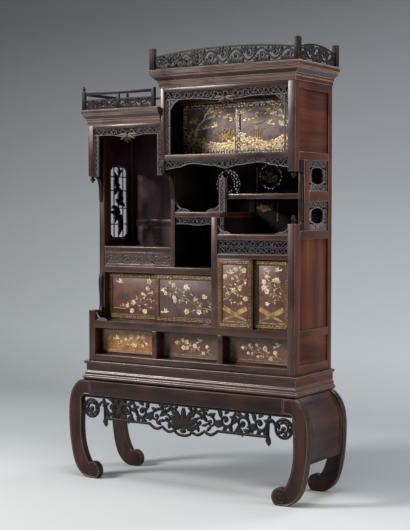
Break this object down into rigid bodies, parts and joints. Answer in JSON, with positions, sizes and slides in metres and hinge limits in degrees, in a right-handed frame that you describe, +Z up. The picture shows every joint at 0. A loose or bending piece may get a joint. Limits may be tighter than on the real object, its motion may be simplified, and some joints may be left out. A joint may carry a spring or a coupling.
{
  "type": "east asian display cabinet",
  "caption": "Stepped display cabinet in dark carved wood on a scroll-legged stand, with open niches, sliding doors, drawers, pierced aprons and railed tops.",
  "frame": {"origin": "on the floor under the middle of the whole cabinet's outline", "axes": "+Z up, -Y the front with the doors and drawers, +X to the right seen from the front"},
  "size_m": [1.394, 0.417, 2.157],
  "materials": {
    "rosewood": "waxed dark rosewood",
    "rosewood_panel": "waxed reddish brown rosewood",
    "carved_rosewood": "carved, nearly black",
    "dark_back": "dark stained boards",
    "door_frame": "waxed, with a pale inlaid border",
    "door_panel": "lacquered, inlaid with bone and gold lacquer",
    "drawer_front": "lacquered, inlaid",
    "drawer_wood": "plain wood"
  },
  "bodies": {
    "case": {"stand_front_legs": "rosewood", "stand_rear_legs": "rosewood", "stand_side_panel": "rosewood_panel", "stand_aprons": "rosewood", "stand_openwork_apron": "carved_rosewood", "stand_top_board": "rosewood", "plinth_moulding": "rosewood", "left_side_frame": "rosewood", "left_side_panels": "rosewood_panel", "left_window_lattice": "carved_rosewood", "right_side_frame": "rosewood", "right_side_panels": "rosewood_panel", "right_side_openwork": "carved_rosewood", "back_frame": "rosewood", "back_panels": "dark_back", "back_round_lattices": "carved_rosewood", "bottom_board": "rosewood", "drawer_dividers": "rosewood", "sill_board": "rosewood", "row_two_head": "rosewood", "left_shelf": "rosewood", "left_partition": "rosewood", "middle_partition": "rosewood", "niche_floors": "rosewood", "right_niche_shelf": "rosewood", "upper_box_floor": "rosewood", "door_head_rails": "rosewood", "top_boards": "rosewood", "wing_boards": "rosewood", "left_box_fret": "carved_rosewood", "upper_box_fret": "carved_rosewood", "scalloped_apron": "carved_rosewood", "niche_frets": "carved_rosewood", "door_frieze": "carved_rosewood", "turned_posts": "rosewood", "left_cornice": "rosewood", "right_cornice": "rosewood", "left_gallery": "rosewood", "right_gallery_posts": "rosewood", "gallery_openwork": "carved_rosewood"},
    "upper_left_door": {"upper_left_door_frame": "door_frame", "upper_left_door_panel": "door_panel"},
    "upper_right_door": {"upper_right_door_frame": "door_frame", "upper_right_door_panel": "door_panel"},
    "row_two_left_door": {"row_two_left_door_frame": "door_frame", "row_two_left_door_panel": "door_panel"},
    "row_two_right_door": {"row_two_right_door_frame": "door_frame", "row_two_right_door_panel": "door_panel"},
    "tall_left_door": {"tall_left_door_frame": "door_frame", "tall_left_door_panel": "door_panel"},
    "tall_right_door": {"tall_right_door_frame": "door_frame", "tall_right_door_panel": "door_panel"},
    "left_drawer": {"left_drawer_front": "drawer_front", "left_drawer_box": "drawer_wood"},
    "middle_drawer": {"middle_drawer_front": "drawer_front", "middle_drawer_box": "drawer_wood"},
    "right_drawer": {"right_drawer_front": "drawer_front", "right_drawer_box": "drawer_wood"},
    "small_drawer": {"small_drawer_front": "drawer_front", "small_drawer_box": "drawer_wood"}
  },
  "joints": [
    {"name": "upper_left_door_slide", "type": "slide", "parent": "case", "child": "upper_left_door", "axis": [1, 0, 0], "range_m": [0, 0.31]},
    {"name": "upper_right_door_slide", "type": "slide", "parent": "case", "child": "upper_right_door", "axis": [-1, 0, 0], "range_m": [0, 0.31]},
    {"name": "row_two_left_door_slide", "type": "slide", "parent": "case", "child": "row_two_left_door", "axis": [1, 0, 0], "range_m": [0, 0.29]},
    {"name": "row_two_right_door_slide", "type": "slide", "parent": "case", "child": "row_two_right_door", "axis": [-1, 0, 0], "range_m": [0, 0.29]},
    {"name": "tall_left_door_slide", "type": "slide", "parent": "case", "child": "tall_left_door", "axis": [1, 0, 0], "range_m": [0, 0.18]},
    {"name": "tall_right_door_slide", "type": "slide", "parent": "case", "child": "tall_right_door", "axis": [-1, 0, 0], "range_m": [0, 0.18]},
    {"name": "left_drawer_slide", "type": "slide", "parent": "case", "child": "left_drawer", "axis": [0, -1, 0], "range_m": [0, 0.2]},
    {"name": "middle_drawer_slide", "type": "slide", "parent": "case", "child": "middle_drawer", "axis": [0, -1, 0], "range_m": [0, 0.2]},
    {"name": "right_drawer_slide", "type": "slide", "parent": "case", "child": "right_drawer", "axis": [0, -1, 0], "range_m": [0, 0.2]},
    {"name": "small_drawer_slide", "type": "slide", "parent": "case", "child": "small_drawer", "axis": [0, -1, 0], "range_m": [0, 0.17]}
  ]
}
